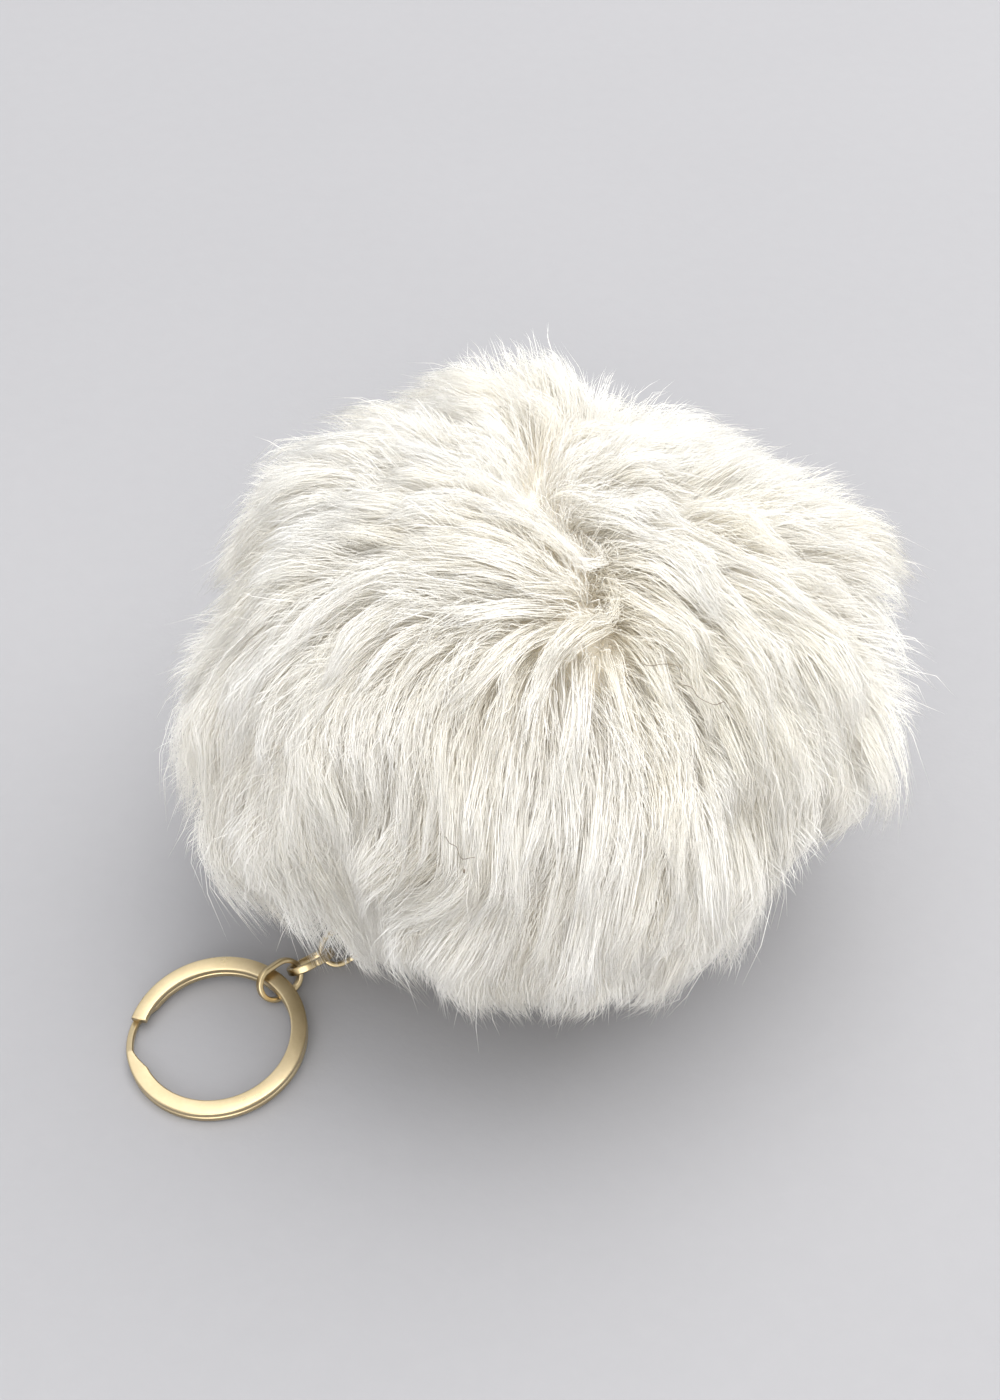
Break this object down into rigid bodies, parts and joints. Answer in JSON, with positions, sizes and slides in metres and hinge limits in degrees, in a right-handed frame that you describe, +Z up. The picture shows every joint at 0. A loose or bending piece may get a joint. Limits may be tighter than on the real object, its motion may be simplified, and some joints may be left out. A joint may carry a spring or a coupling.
{
  "type": "pom-pom keychain",
  "caption": "Stuffed long-pile fur ball hung by a cord loop from a short oval-link chain and a flat-wire split ring; it lies on its flattened foot with the chain laid out.",
  "frame": {"origin": "middle of the flat foot that the ball rests on", "axes": "+Z up from the table; the chain is laid out towards -X and -Y, to the front left"},
  "size_m": [0.1147, 0.1042, 0.084],
  "materials": {
    "fur": "matte",
    "backing": "matte",
    "fibre": "matte",
    "thread": "matte",
    "cord": "matte",
    "gold": "satin",
    "ring_gold": "satin"
  },
  "bodies": {
    "pom": {"fur_pile": "fur", "backing_cloth": "backing", "stuffing": "fibre", "gather_thread": "thread", "hanging_loop": "cord"},
    "link_1": {"chain_link_1": "gold"},
    "link_2": {"chain_link_2": "gold"},
    "link_3": {"chain_link_3": "gold"},
    "link_4": {"chain_link_4": "gold"},
    "ring": {"split_ring": "ring_gold"}
  },
  "joints": [
    {"name": "link_1_swing", "type": "hinge", "parent": "pom", "child": "link_1", "pos_m": [-0.02411, -0.01884, 0.006], "axis": [0, 0, 1], "range_deg": [-25, 25]},
    {"name": "link_2_lift", "type": "hinge", "parent": "link_1", "child": "link_2", "pos_m": [-0.02872, -0.02129, 0.00346], "axis": [-0.5, 0.866, 0], "range_deg": [0, 24]},
    {"name": "link_3_swing", "type": "hinge", "parent": "link_2", "child": "link_3", "pos_m": [-0.03371, -0.02417, 0.00285], "axis": [0, 0, 1], "range_deg": [-35, 35]},
    {"name": "link_4_lift", "type": "hinge", "parent": "link_3", "child": "link_4", "pos_m": [-0.03858, -0.02733, 0.00285], "axis": [-0.6561, 0.7547, 0], "range_deg": [0, 35]},
    {"name": "ring_turn", "type": "hinge", "parent": "link_4", "child": "ring", "pos_m": [-0.04975, -0.03921, 0.00202], "axis": [-0.0438, -0.0486, 0.9979], "continuous": true}
  ]
}
